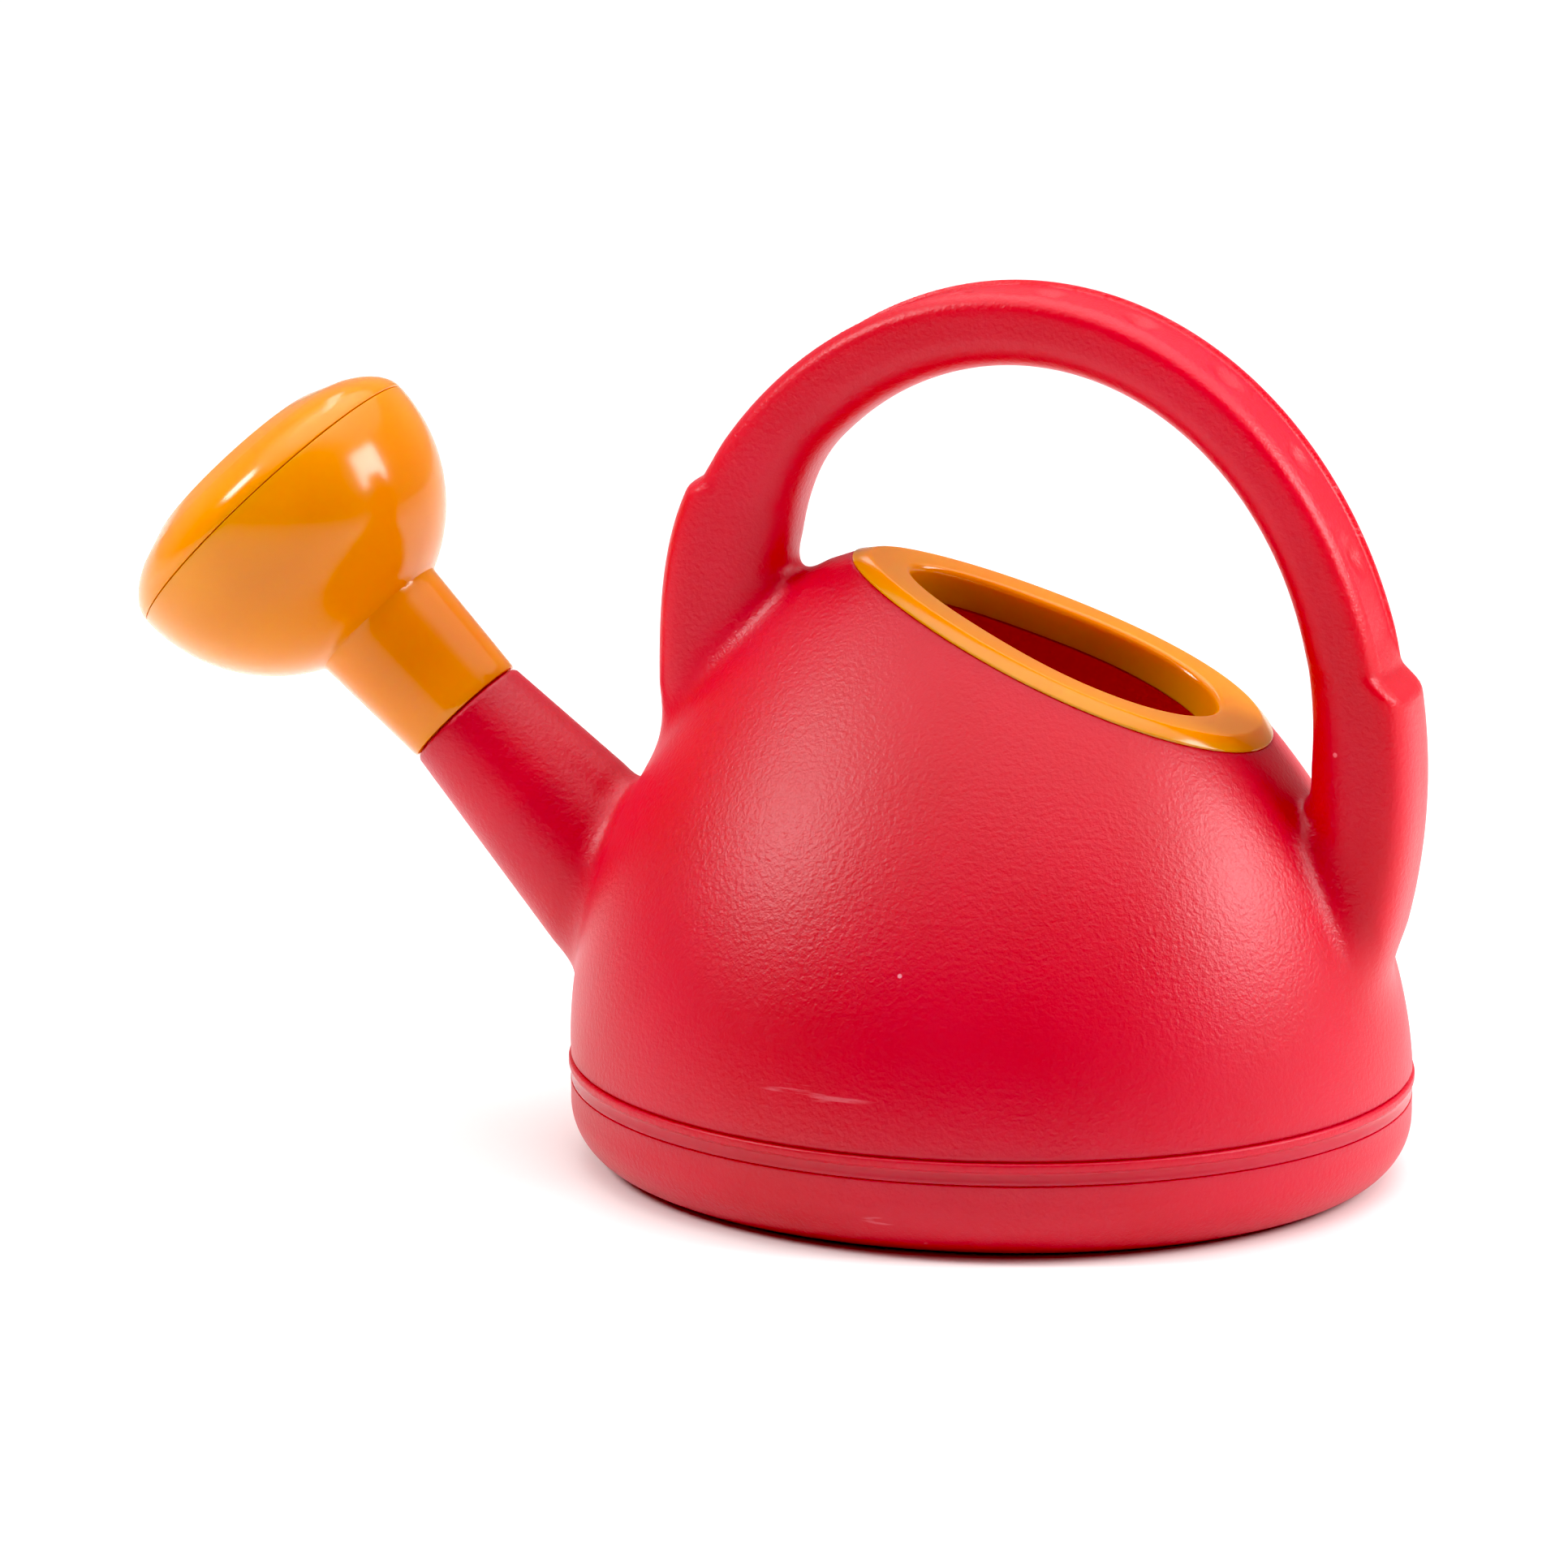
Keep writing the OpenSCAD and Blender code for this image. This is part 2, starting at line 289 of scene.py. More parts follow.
def redPlastic(name, bandLow=None, bandHigh=None):
    desk = NodeDesk(name)
    tone = desk.spread(desk.noise(16, 3), 0.35, 0.65, 0, 1)
    colour = desk.mix(tone, redFinish["deep"], redFinish["bright"])
    specks = desk.spread(desk.cells(95), 0.035, 0.05, 1, 0)  # tiny pale dust pits
    some = desk.spread(desk.noise(31, 1), 0.60, 0.64, 0, 1)
    colour = desk.mix(desk.math("MULTIPLY", specks, some), colour, redFinish["scuff"])
    for place in rubbed.values():
        strokes = desk.noise(1.0, 2, 0.5, place["stroke"])
        strokes = desk.spread(strokes, place["share"], place["share"] + 0.08, 0, 0.30)
        strokes = desk.math("MULTIPLY", strokes, desk.patch(place["centre"], place["size"]))
        colour = desk.mix(strokes, colour, redFinish["scuff"])
    desk.plug("Base Color", colour)
    low, high = redFinish["satin"]
    rough = desk.spread(desk.noise(22, 2), 0.3, 0.7, low, high)
    if bandLow is not None:  # the trimmed band above the pan is polished
        height = desk.height()
        inside = desk.math("MULTIPLY",
                           desk.spread(height, bandLow * mm, (bandLow + 0.2) * mm, 0, 1),
                           desk.spread(height, (bandHigh - 0.2) * mm, bandHigh * mm, 1, 0))
        less = desk.math("MULTIPLY", desk.math("MULTIPLY", inside, -1.0), low - redFinish["polished"])
        rough = desk.math("ADD", rough, less)
    desk.plug("Roughness", rough)
    peel = desk.noise(redFinish["peel"], 3, 0.6)
    if bandLow is not None:
        peel = desk.math("MULTIPLY", desk.math("SUBTRACT", peel, 0.5), desk.math("SUBTRACT", 1.0, inside))
    waves = desk.noise(120, 2)
    normal = desk.bump(peel, redFinish["peelDepth"], 0.6)
    normal = desk.bump(waves, 0.0004, 0.03, normal)
    desk.plug("Normal", normal)
    desk.letLightIn(redFinish)
    return desk.material


orangeFinish = {
    "deep": (0.76, 0.215, 0.004), "bright": (0.84, 0.270, 0.005), "grime": (0.35, 0.07, 0.01),
    "gloss": (0.13, 0.20),
    "specular": 0.40, "glow": 0.55, "glowReach": (1.0, 0.35, 0.08), "glowDepth": 0.008,
}


def orangePlastic(name):
    desk = NodeDesk(name)
    tone = desk.spread(desk.noise(22, 2), 0.35, 0.65, 0, 1)
    colour = desk.mix(tone, orangeFinish["deep"], orangeFinish["bright"])
    specks = desk.spread(desk.cells(150), 0.03, 0.045, 1, 0)
    some = desk.spread(desk.noise(47, 1), 0.62, 0.66, 0, 1)
    colour = desk.mix(desk.math("MULTIPLY", specks, some), colour, orangeFinish["grime"])
    desk.plug("Base Color", colour)
    low, high = orangeFinish["gloss"]
    desk.plug("Roughness", desk.spread(desk.noise(85, 3), 0.3, 0.7, low, high))
    desk.plug("Normal", desk.bump(desk.noise(70, 2), 0.0003, 0.10))
    desk.letLightIn(orangeFinish)
    return desk.material


# mesh helpers

def ease(a, b, v):
    s = np.clip((v - a) / (b - a), 0, 1)
    return s * s * (3 - 2 * s)


def gridFaces(rows, count, loop=False):
    i = np.arange(rows if loop else rows - 1)[:, None]
    k = np.arange(count)[None, :]
    j, n = (i + 1) % rows, (k + 1) % count
    return np.stack([i * count + k, i * count + n, j * count + n, j * count + k], -1).reshape(-1, 4)


def signedVolume(points, quads, tris):
    faces = np.concatenate([quads[:, [0, 1, 2]], quads[:, [0, 2, 3]], tris])
    a, b, c = points[faces[:, 0]], points[faces[:, 1]], points[faces[:, 2]]
    return float((a * np.cross(b, c)).sum()) / 6


def closedSkin(rings, loop=False):
    # rings: one array of points for each section; the ends are closed with a fan
    rings = np.array(rings, float)
    rows, count = rings.shape[:2]
    points = rings.reshape(-1, 3)
    quads = gridFaces(rows, count, loop)
    tris = np.zeros((0, 3), int)
    if not loop:
        k = np.arange(count)
        n = (k + 1) % count
        first, last = len(points), len(points) + 1
        points = np.concatenate([points, rings[0].mean(0)[None], rings[-1].mean(0)[None]])
        base = (rows - 1) * count
        tris = np.concatenate([np.stack([n, k, np.full(count, first)], -1),
                               np.stack([base + k, base + n, np.full(count, last)], -1)])
    if signedVolume(points, quads, tris) < 0:
        quads, tris = quads[:, ::-1], tris[:, ::-1]
    return points, quads, tris


def joinSkins(skins):
    points, quads, tris, start = [], [], [], 0
    for p, q, t in skins:
        points.append(p)
        quads.append(q + start)
        tris.append(t + start)
        start += len(p)
    return np.concatenate(points), np.concatenate(quads), np.concatenate(tris)


def makeMesh(name, skin, scale=1.0):
    points, quads, tris = skin
    mesh = bpy.data.meshes.new(name)
    mesh.vertices.add(len(points))
    mesh.vertices.foreach_set("co", (points * scale).astype(np.float32).ravel())
    corners = np.concatenate([quads.ravel(), tris.ravel()])
    mesh.loops.add(len(corners))
    mesh.loops.foreach_set("vertex_index", corners.astype(np.int32))
    sizes = np.concatenate([np.full(len(quads), 4), np.full(len(tris), 3)])
    starts = np.concatenate([[0], np.cumsum(sizes)[:-1]])
    mesh.polygons.add(len(sizes))
    mesh.polygons.foreach_set("loop_start", starts.astype(np.int32))
    mesh.update(calc_edges=True)
    mesh.validate()
    return mesh


def makeObject(name, skin, scale=1.0):
    obj = bpy.data.objects.new(name, makeMesh(name, skin, scale))
    bpy.context.scene.collection.objects.link(obj)
    return obj


def settle(obj):
    # keeps the result of the object's modifiers as its mesh
    depsgraph = bpy.context.evaluated_depsgraph_get()
    mesh = bpy.data.meshes.new_from_object(obj.evaluated_get(depsgraph))
    obj.modifiers.clear()
    obj.data = mesh


def cutWith(obj, skin):
    cutter = makeObject("cutter", skin)
    change = obj.modifiers.new("cut", "BOOLEAN")
    change.operation = "DIFFERENCE"
    change.solver = "MANIFOLD"
    change.object = cutter
    settle(obj)
    bpy.data.objects.remove(cutter)


def readPoints(mesh):
    points = np.zeros(len(mesh.vertices) * 3, np.float32)
    mesh.vertices.foreach_get("co", points)
    return points.reshape(-1, 3).astype(float)


def surfaceOf(skin):
    points, quads, tris = skin
    return BVHTree.FromPolygons(points.tolist(), quads.tolist() + tris.tolist())


def finishPiece(obj, material, body, nodes=(), angle=35):
    obj.data.materials.clear()
    obj.data.materials.append(material)
    obj.data.shade_smooth()
    obj.data.set_sharp_from_angle(angle=math.radians(angle))
    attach(obj, body)
    if nodes:
        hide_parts(*nodes)
    return obj


def revolve(profile, count, frameOf):
    # profile: (distance along the axis, radius), as one closed outline
    along, radius = np.array(profile, float).T
    a = np.linspace(0, 2 * math.pi, count, endpoint=False)
    rings = [frameOf(r * np.cos(a), r * np.sin(a), np.full(count, w)) for w, r in zip(along, radius)]
    return closedSkin(rings, loop=True)


# the red moulding: vessel, handle and spout

panLow, panHigh = (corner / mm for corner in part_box("base_pan"))
shellLow, shellHigh = (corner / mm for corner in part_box("vessel_shell"))
archLow, archHigh = (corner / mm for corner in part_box("handle"))

vessel = {
    "halfLength": panHigh.x, "halfWidth": panHigh.y, "panTop": shellLow.z, "bead": 4.5, "beadOut": 0.42,
    "groove": 0.5, "rise": 105.0, "lean": 5.0,
    "webAlong": (-60, -50, -40, -37.4, -35.5, -33.5, -30.3, -27),
    "webUp": (0, 3.2, 3.6, 3.1, 2.7, 1.9, 0.9, 0),
    "webWide": 13.0, "wall": 2.2, "around": 320, "rows": 150,
    "longCurve": (1.9, 0.68), "wideCurve": (1.8, 0.95),  # powers of the dome's curve, side and end view
}
vessel["grooveZ"] = vessel["panTop"] + vessel["bead"]
vessel["foot"] = vessel["grooveZ"] + 0.6

filler = {"x": 14.5, "drop": 24.5, "tilt": math.radians(21)}
filler["z"] = vessel["grooveZ"] + vessel["rise"] - filler["drop"]

arch = {
    "frontInset": 11.5, "footUp": 59.5, "width": 21.0, "topThick": 14.8, "sideThick": 18.5,
    "handLift": 10.0, "backStep": 3.4, "frontStep": 1.8, "frontFlare": 7.0,
    "backShoulder": 12.0, "frontShoulder": 147.4, "from": -42.0, "to": 200.0,
    "legRun": 1.45, "backCurl": 0.0045, "footSpread": 6.0, "sections": 420, "around": 220,
}
arch["foot"] = vessel["grooveZ"] + arch["footUp"]
arch["rise"] = archHigh.z - arch["foot"]
arch["halfX"] = vessel["halfLength"] - arch["frontInset"] / 2
arch["x"] = arch["frontInset"] / 2
arch["handX"] = arch["x"] + 1.5
arch["handHalfX"] = arch["halfX"] - arch["sideThick"]
arch["handRise"] = arch["rise"] - arch["topThick"] - arch["handLift"]

strip = {
    "halfWidth": 6.2, "edge": 0.7, "share": 0.98, "depth": 0.9, "boxy": 6.4, "proud": 0.03,
    "dimples": 8, "firstDimple": 28.7, "dimpleStep": 14.4, "dimpleLong": 5.2, "dimpleWide": 4.3,
    "dimpleDeep": 1.2, "perDegree": 1.42,  # length of the grip for each degree of the arch
}

spout = {
    "angle": math.radians(46), "mouthX": 26.0, "mouthZ": 79.0, "mouthR": 12.7, "taper": math.radians(6.2),
    "sink": 18.0, "wall": 2.0, "boreDeep": 20.0, "around": 160,
}
spout["length"] = (spout["mouthX"] + spout["sink"]) / math.sin(spout["angle"])

# how the three shapes run into each other: mesh size, width of the softened joint, how often it is evened out
blend = {"voxel": 0.55, "reach": 7.0, "rounds": 200, "search": 12.0}


def ovalRing(z, halfX, halfY, centre, count):
    a = np.linspace(0, 2 * math.pi, count, endpoint=False)
    return np.stack([centre + halfX * np.cos(a), halfY * np.sin(a), np.full(count, z)], -1)


def domeHalves(t):
    # half length and half width of the dome at the share t of its rise
    (a, b), (c, d) = vessel["longCurve"], vessel["wideCurve"]
    return vessel["halfLength"] * (1 - t ** a) ** b, vessel["halfWidth"] * (1 - t ** c) ** d


def domeRing(t, inset, count):
    halfX, halfY = domeHalves(t)
    halfX = max(0.3, halfX - inset)
    halfY = max(0.3, halfY - inset)
    z = vessel["foot"] + (vessel["rise"] - inset) * t
    return ovalRing(z, halfX, halfY, -vessel["lean"] * t, count)


def sideRing(z, out, count):
    return ovalRing(z, vessel["halfLength"] + out, vessel["halfWidth"] + out, 0, count)


def domeSkin():
    # the wall turns in at its foot to meet the V groove above the bead
    foot = vessel["foot"]
    groove = -vessel["groove"]
    count = vessel["around"]
    rings = [sideRing(foot - 6, groove, count), sideRing(foot - 0.5, groove, count),
             sideRing(foot - 0.25, groove * 0.25, count), sideRing(foot - 0.05, groove * 0.05, count)]
    shares = np.sin(np.linspace(0.02, math.pi / 2 * 0.985, vessel["rows"]))
    rings += [domeRing(t, 0, count) for t in shares]
    points, quads, tris = closedSkin(rings)
    # the web between the ring and the front leg
    lift = np.interp(points[:, 0], vessel["webAlong"], vessel["webUp"])
    lift = lift * np.exp(-(points[:, 1] / vessel["webWide"]) ** 2) * ease(75, 95, points[:, 2])
    return points + np.stack([0 * lift, 0 * lift, lift], -1), quads, tris


def hollowSkin():
    # takes out the inside, and everything below the groove
    count = vessel["around"]
    cut = vessel["grooveZ"] - 0.1
    rings = [sideRing(cut - 60, 12, count), sideRing(cut, 12, count), sideRing(cut, -vessel["wall"], count)]
    shares = np.sin(np.linspace(0.01, math.pi / 2 * 0.985, 90))
    rings += [domeRing(t, vessel["wall"], count) for t in shares]
    return closedSkin(rings)


def inFillerFrame(x, y, z):
    c, s = math.cos(filler["tilt"]), math.sin(filler["tilt"])
    return np.stack([filler["x"] + x * c + z * s, y + 0 * x, filler["z"] - x * s + z * c], -1)


def fillerReach(a):
    # how far the dome's skin is from the middle of the filler plane, at each angle
    low, high = np.full(len(a), 5.0), np.full(len(a), vessel["halfLength"])
    for _ in range(30):
        r = (low + high) / 2
        p = inFillerFrame(r * np.cos(a), r * np.sin(a), 0 * a)
        t = (p[:, 2] - vessel["foot"]) / vessel["rise"]
        safe = np.clip(t, 0, 0.9999)
        halfX, halfY = domeHalves(safe)
        inside = (t < 1) & (((p[:, 0] + vessel["lean"] * safe) / halfX) ** 2 + (p[:, 1] / halfY) ** 2 < 1)
        low, high = np.where(inside, r, low), np.where(inside, high, r)
    return low


def openingSkin():
    # everything above the filler plane
    a = np.linspace(0, 2 * math.pi, 72, endpoint=False)
    x, y = 90.0 * np.cos(a), 90.0 * np.sin(a)
    return closedSkin([inFillerFrame(x, y, np.full(len(a), z)) for z in (-0.12, 60.0)])


def legRun(u):
    # past the arch's two ends its legs run down, and the back one curls in
    down = np.where(u < 0, -u, np.where(u > 180, u - 180, 0)) * arch["legRun"]
    return down, np.where(u < 0, -arch["backCurl"] * down ** 2, 0)


def archOuter(u):
    v = np.radians(np.clip(u, 0, 180))
    grip = ease(arch["backShoulder"] - 1.5, arch["backShoulder"] + 2.5, u)
    grip = grip - ease(arch["frontShoulder"] - 2, arch["frontShoulder"] + 1, u)
    step = np.where(u < 90, arch["backStep"], arch["frontStep"]) * (1 - grip)
    down, curl = legRun(u)
    x = arch["x"] + (arch["halfX"] + step) * np.cos(v) + curl + arch["footSpread"] * ease(146, 180, u)
    z = arch["foot"] + (arch["rise"] + step) * np.sin(v) - down
    return np.stack([x, z], -1)


def archInner(u):
    v = np.radians(np.clip(u, 0, 180))
    down, curl = legRun(u)
    x = arch["handX"] + arch["handHalfX"] * np.cos(v) + curl + arch["frontFlare"] * ease(132, 168, u)
    z = arch["foot"] + arch["handLift"] + arch["handRise"] * np.sin(v) - down
    return np.stack([x, z], -1)


def archSection(u, count):
    # boxy outside, round inside, with the recessed strip and its dimples on the outer face
    o, i = archOuter(np.array([u]))[0], archInner(np.array([u]))[0]
    middle, half = (o + i) / 2, np.hypot(*(o - i)) / 2
    way = (o - i) / (2 * half)
    a = np.linspace(0, 2 * math.pi, count, endpoint=False)
    grip = float(ease(arch["backShoulder"] + 1.5, arch["backShoulder"] + 7, u)
                 - ease(arch["frontShoulder"] - 8, arch["frontShoulder"] - 3, u))
    power = np.where(np.cos(a) > 0, 2 / strip["boxy"], 2 / 2.3)
    r = half * np.sign(np.cos(a)) * np.abs(np.cos(a)) ** power
    y = arch["width"] / 2 * np.sign(np.sin(a)) * np.abs(np.sin(a)) ** (2 / 2.6)
    r = np.where(np.cos(a) > 0, r * (1 + strip["proud"] * grip), r)
    edgeIn, edgeOut = strip["halfWidth"] - strip["edge"] / 2, strip["halfWidth"] + strip["edge"] / 2
    inStrip = 1 - ease(edgeIn, edgeOut, np.abs(y))
    floor = strip["share"] * half - strip["depth"]
    pit = 0
    for k in range(strip["dimples"]):
        along = (u - strip["firstDimple"] - k * strip["dimpleStep"]) * strip["perDegree"]
        apart = (along / strip["dimpleLong"]) ** 2 + (y / strip["dimpleWide"]) ** 2
        pit = pit + strip["dimpleDeep"] * (1 - ease(0.1, 1.0, np.sqrt(apart)))
    wanted = np.minimum(r, floor) - pit
    r = np.where(np.cos(a) > 0.02, r + (wanted - r) * inStrip * grip, r)
    return np.stack([middle[0] + way[0] * r, y, middle[1] + way[1] * r], -1)


def archSkin():
    turns = np.linspace(arch["from"], arch["to"], arch["sections"])
    return closedSkin([archSection(u, arch["around"]) for u in turns])


def inSpoutFrame(x, y, w):
    # w runs along the spout's axis, outwards from its mouth
    c, s = math.cos(spout["angle"]), math.sin(spout["angle"])
    mouthX = -vessel["halfLength"] - spout["mouthX"]
    return np.stack([mouthX + x * c - w * s, y, spout["mouthZ"] + x * s + w * c], -1)


def roundSkin(profile, count):
    a = np.linspace(0, 2 * math.pi, count, endpoint=False)
    return closedSkin([inSpoutFrame(r * np.cos(a), r * np.sin(a), np.full(count, w)) for w, r in profile])


def spoutSkin():
    def radius(w):
        return spout["mouthR"] - w * math.tan(spout["taper"])
    steps = list(np.linspace(0, -spout["length"], 60))
    profile = [(0, radius(0) - 0.7), (-0.2, radius(0) - 0.25), (-0.7, radius(-0.7))]
    profile += [(w, radius(w)) for w in steps if w < -0.9]
    return roundSkin(profile, spout["around"])


def boreSkin():
    bore = spout["mouthR"] - spout["wall"]
    deep = spout["boreDeep"]
    taper = math.tan(spout["taper"])
    inner = [(-w, spout["mouthR"] + w * taper - spout["wall"]) for w in (deep + 2, spout["length"] - 0.5)]
    return roundSkin([(2, bore + 0.02), (-deep, bore + 0.02)] + inner, 128)


def relax(points, edges, weight, rounds):
    # evens out the points of the joints, so that the shapes run into each other
    near = np.zeros(len(points), bool)
    near[edges[(weight[edges] > 0).any(1)]] = True
    index = np.full(len(points), -1)
    index[near] = np.arange(near.sum())
    inner = edges[near[edges].all(1)]
    a, b = index[inner[:, 0]], index[inner[:, 1]]
    local = points[near]
    w = weight[near][:, None]
    n = len(local)
    degree = np.maximum(np.bincount(a, minlength=n) + np.bincount(b, minlength=n), 1)[:, None]
    for _ in range(rounds):
        total = np.stack([np.bincount(a, local[b, k], n) + np.bincount(b, local[a, k], n)
                          for k in range(3)], -1)
        local = local + w * 0.6 * (total / degree - local)
    points = points.copy()
    points[near] = local
    return points


def blendShapes(obj, skins):
    # snaps the fused mesh back onto the exact shapes, then softens where they meet
    mesh = obj.data
    points = readPoints(mesh)
    trees = [surfaceOf(s) for s in skins]
    vectors = [Vector(p) for p in points]
    far = blend["search"]
    found = [[tree.find_nearest(v, far) for v in vectors] for tree in trees]
    apart = np.array([[f[3] if f[0] is not None else far for f in row] for row in found])
    spots = np.array([[f[0] if f[0] is not None else v for f, v in zip(row, vectors)]
                      for row in found], float)
    order = np.sort(apart, 0)
    best = apart.argmin(0)
    snapped = spots[best, np.arange(len(points))]
    keep = ease(0.8, 1.6, order[1])[:, None]
    points = points + (snapped - points) * keep
    weight = 1 - ease(0.35, 1.0, order[1] / blend["reach"])
    edges = np.zeros(len(mesh.edges) * 2, np.int32)
    mesh.edges.foreach_get("vertices", edges)
    points = relax(points, edges.reshape(-1, 2), weight, blend["rounds"])
    mesh.vertices.foreach_set("co", points.astype(np.float32).ravel())
    mesh.update()


def cutDome():
    dome = makeObject("dome", domeSkin())
    cutWith(dome, openingSkin())
    points = readPoints(dome.data)
    faces = [list(p.vertices) for p in dome.data.polygons]
    quads = np.array([f for f in faces if len(f) == 4], int).reshape(-1, 4)
    tris = np.array([(f[0], f[k], f[k + 1]) for f in faces if len(f) != 4 for k in range(1, len(f) - 1)], int)
    bpy.data.objects.remove(dome)
    return points, quads, tris.reshape(-1, 3)


def makeMoulding():
    shapes = [cutDome(), archSkin(), spoutSkin()]
    obj = makeObject("red_moulding", joinSkins(shapes))
    fuse = obj.modifiers.new("fuse", "REMESH")
    fuse.mode = "VOXEL"
    fuse.voxel_size = blend["voxel"] * 1
    settle(obj)
    print("moulding fused:", len(obj.data.vertices), "points")
    blendShapes(obj, shapes)
    print("joints softened")
    for cutter in (hollowSkin(), boreSkin()):
        cutWith(obj, cutter)
    print("moulding hollowed:", len(obj.data.polygons), "faces")
    return obj


moulding = makeMoulding()


def ringBand(profile, count):
    # profile: (distance out from the vessel's side, height), as one closed outline
    return closedSkin([sideRing(z, out, count) for out, z in profile], loop=True)


def beadSkin():
    low, high, out = vessel["panTop"], vessel["grooveZ"], vessel["beadOut"]
    profile = [(-2.2, low + 0.05), (-0.3, low + 0.05), (-0.1, low + 0.14), (-0.02, low + 0.35),
               (-0.12, low + 0.9), (-0.18, low + 1.5), (-0.12, low + 2.1), (0.02, low + 2.55),
               (0.22, low + 2.75), (out - 0.06, low + 2.9),
               (out, low + 3.1), (out, low + 3.9), (out - 0.05, low + 4.15), (out - 0.2, low + 4.3),
               (-0.12, high - 0.08), (-0.4, high - 0.04), (-2.2, high - 0.04)]
    return ringBand(profile, vessel["around"])


bead = makeObject("bead", beadSkin())
redBody = redPlastic("red_satin", vessel["panTop"], vessel["panTop"] + 2.7)

for obj in (moulding, bead):
    obj.data.transform(Matrix.Scale(mm, 4))
finishPiece(moulding, redBody, "can", ("vessel_shell", "handle", "spout"), 40)
finishPiece(bead, redBody, "can", (), 50)
print("red moulding done")


# the base pan

pan = {"edge": 11.5, "wall": 2.2, "lipIn": 2.6, "lipThick": 2.0, "lipHigh": 4.0, "around": 320}


def panSkin():
    top = vessel["panTop"]
    quarter = np.linspace(0, math.pi / 2, 22)
    edge, wall = pan["edge"], pan["wall"]
    outer = [(-edge * (1 - math.sin(a)), edge * (1 - math.cos(a))) for a in quarter]
    rim = [(0, top - 0.55), (0.06, top - 0.3), (0.0, top - 0.1), (-0.25, top), (-pan["lipIn"], top)]
    lipOut, lipIn = -pan["lipIn"], -pan["lipIn"] - pan["lipThick"]
    lip = [(lipOut, top + pan["lipHigh"] - 0.3), (lipOut - 0.3, top + pan["lipHigh"]),
           (lipIn + 0.3, top + pan["lipHigh"]), (lipIn, top + pan["lipHigh"] - 0.3), (lipIn, top - 1)]
    inner = [(-edge + (edge - wall) * math.sin(a), edge - (edge - wall) * math.cos(a)) for a in quarter[::-1]]
    # the first and the last ring are closed by the floor's two faces
    return closedSkin([sideRing(z, out, pan["around"]) for out, z in outer + rim + lip + inner])


panPiece = makeObject("pan", panSkin(), mm)
finishPiece(panPiece, redPlastic("red_pan"), "can", ("base_pan",), 40)
print("pan done")


# the filler ring

ring = {"endBand": 11.8, "sideBand": 9.8, "slope": 3.0, "top": 2.2, "skirt": 5.0, "thick": 2.0, "around": 480}


def ringOutline(width):
    slope, top, skirt, thick = ring["slope"], ring["top"], ring["skirt"], ring["thick"]
    lean = math.atan2(top - 0.5, slope)
    shoulder = [(slope - 0.5 * math.cos(lean), top - 0.5 * math.sin(lean)), (slope - 0.15, top - 0.1),
                (slope + 0.15, top - 0.01), (slope + 0.5, top)]
    turn = np.linspace(0, math.pi / 2, 9)
    mouth = [(width - 1.5 + 1.5 * math.sin(a), top - 1.5 + 1.5 * math.cos(a)) for a in turn]
    low = [(width, -skirt + 0.4), (width - 0.4, -skirt), (width - thick + 0.4, -skirt),
           (width - thick, -skirt + 0.4), (width - thick, 0)]
    return [(0, 0), (0, 0.36), (0.12, 0.52)] + shoulder + mouth + low


def ringSkin():
    a = np.linspace(0, 2 * math.pi, ring["around"], endpoint=False)
    reach = fillerReach(a)
    width = ring["endBand"] * np.cos(a) ** 2 + ring["sideBand"] * np.sin(a) ** 2
    rings = []
    for angle, edge, w in zip(a, reach, width):
        inward, up = np.array(ringOutline(w)).T
        rings.append(inFillerFrame((edge - inward) * math.cos(angle), (edge - inward) * math.sin(angle), up))
    return closedSkin(rings, loop=True)


ringPiece = makeObject("ring", ringSkin(), mm)
finishPiece(ringPiece, orangePlastic("orange_ring"), "can", ("filler_ring",), 32)
print("filler ring done")


# the rose

rose = {
    "plug": 18.0, "clear": 0.06, "gap": 0.25, "flare": 1.5, "bulb": 33.4, "neck": 25.0, "faceHigh": 13.1,
    "wall": 2.0, "holeR": 1.0, "holeRings": 3, "holesOut": 17.4, "dish": 20.1, "dishDeep": 0.7, "around": 256,
}
rose["neckR"] = spout["mouthR"] + rose["flare"]
rose["seam"] = rose["neck"] + math.sqrt(rose["bulb"] ** 2 - rose["neckR"] ** 2)
rose["plugR"] = spout["mouthR"] - spout["wall"] - rose["clear"]


def bulbSkin():
    r, wall, seam, neck, neckR = rose["bulb"], rose["wall"], rose["seam"], rose["neck"], rose["neckR"]
    plug, plugR, mouthR = rose["plug"], rose["plugR"], spout["mouthR"]
    outer = [(-plug, plugR - 0.7), (-plug + 0.2, plugR - 0.25), (-plug + 0.7, plugR), (rose["gap"], plugR),
             (rose["gap"], mouthR - 0.5), (rose["gap"] + 0.1, mouthR - 0.15), (rose["gap"] + 0.4, mouthR)]
    outer += [(w, mouthR + (neckR - mouthR) * w / neck) for w in np.linspace(2, neck - 0.6, 12)]
    start = math.asin(neckR / r)
    turn = np.linspace(start + 0.018, math.pi / 2 - 0.014, 64)
    outer += [(neck - 0.05, neckR + 0.12)]
    outer += [(seam - r * math.cos(a), r * math.sin(a)) for a in turn]
    outer += [(seam - 0.22, r - 0.03), (seam - 0.09, r - 0.16), (seam - 0.05, r - 0.4)]
    inside = r - wall
    low = math.asin((plugR - wall) / inside)
    inner = [(seam - 0.05, inside)] + [(seam - inside * math.cos(a), inside * math.sin(a))
                                       for a in np.linspace(math.pi / 2 - 0.02, low, 40)]
    inner += [(-plug + 0.3, plugR - wall), (-plug, plugR - wall + 0.3)]
    return revolve(outer + inner, rose["around"], inSpoutFrame)


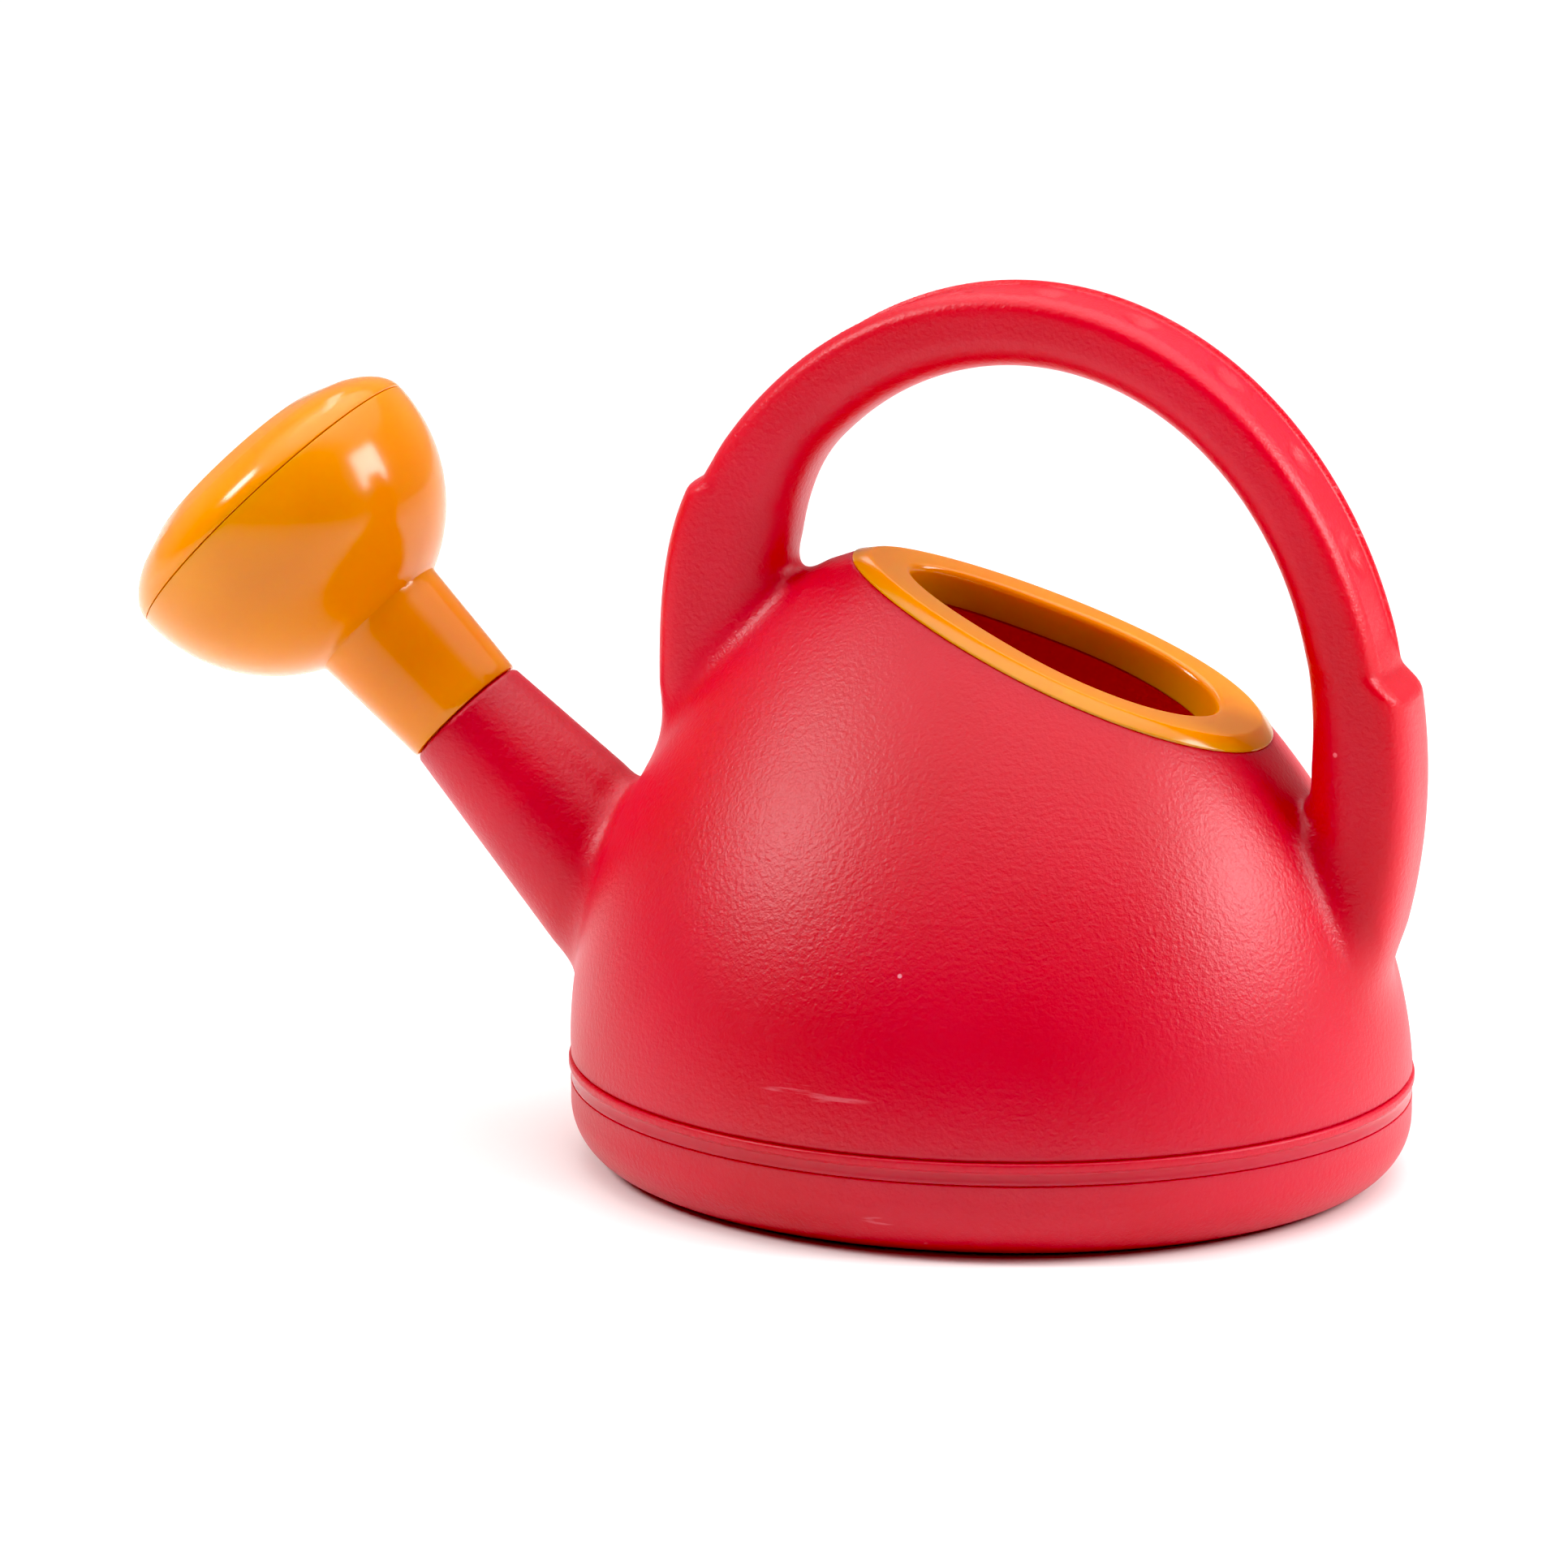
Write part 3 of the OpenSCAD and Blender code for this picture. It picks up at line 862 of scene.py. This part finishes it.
def faceSkin():
    r, high, seam, wall = rose["bulb"], rose["faceHigh"], rose["seam"], rose["wall"]
    inside = r - wall - 0.4

    def crown(radius):
        dish = rose["dishDeep"] * (1 - ease(rose["dish"] - 0.45, rose["dish"] + 0.15, radius))
        return seam + high * math.sqrt(max(0, 1 - (radius / r) ** 2)) - float(dish)
    outer = [(seam + 0.07, r - 0.5), (seam + 0.11, r - 0.18), (seam + 0.26, r - 0.04)]
    turn = np.linspace(0.05, 0.62, 34)
    outer += [(seam + high * math.sin(a), r * math.cos(a)) for a in turn
              if r * math.cos(a) > rose["dish"] + 0.7]
    near = np.linspace(rose["dish"] + 0.6, rose["dish"] - 0.8, 16)
    rest = np.linspace(rose["dish"] - 1.6, 0.05, 26)
    outer += [(crown(q), q) for q in list(near) + list(rest)]
    lowHigh, lowR = high - wall, r - 2 * wall
    turn = np.linspace(math.pi / 2 - 0.002, 0.0, 30)
    inner = [(seam + lowHigh * math.sin(a), lowR * math.cos(a)) for a in turn]
    skirt = [(seam - 4, lowR), (seam - 4, inside - 0.3), (seam - 3.7, inside), (seam + 0.07, inside)]
    return revolve(outer + inner + skirt, rose["around"], inSpoutFrame)


def holeSkins():
    # one hole in the middle, and 6, 12 and 18 in rings round it
    a = np.linspace(0, 2 * math.pi, 28, endpoint=False)
    x, y = rose["holeR"] * np.cos(a), rose["holeR"] * np.sin(a)
    ends = (rose["seam"] - 1, rose["seam"] + rose["faceHigh"] + 2)
    skins = []
    for i in range(rose["holeRings"] + 1):
        far = rose["holesOut"] * i / rose["holeRings"]
        holes = max(1, 6 * i)
        for k in range(holes):
            turn = 2 * math.pi * k / holes
            acrossX, acrossY = far * math.cos(turn), far * math.sin(turn)
            rings = [inSpoutFrame(acrossX + x, acrossY + y, np.full(len(a), w)) for w in ends]
            skins.append(closedSkin(rings))
    return skins


bulb = makeObject("bulb", bulbSkin(), mm)
face = makeObject("face", faceSkin())
cutWith(face, joinSkins(holeSkins()))
face.data.transform(Matrix.Scale(mm, 4))
finishPiece(bulb, orangePlastic("orange_bulb"), "rose", ("rose_bulb",), 30)
finishPiece(face, orangePlastic("orange_face"), "rose", ("rose_face",), 30)
print("rose done")


# floor

def makeFloor():
    count = 64
    a = np.linspace(0, 2 * math.pi, count, endpoint=False)
    rings = [np.stack([r * np.cos(a), r * np.sin(a), np.full(count, z)], -1) for r, z in ((6, 0), (6, -0.02))]
    floor = makeObject("floor", closedSkin(rings))
    desk = NodeDesk("pale_floor")
    tone = desk.spread(desk.noise(3, 3), 0.3, 0.7, 0, 1)
    desk.plug("Base Color", desk.mix(tone, (0.90, 0.895, 0.89), (0.93, 0.925, 0.92)))
    desk.plug("Roughness", desk.spread(desk.noise(40, 3), 0.3, 0.7, 0.55, 0.7))
    floor.data.materials.append(desk.material)


makeFloor()

print("all pieces made")
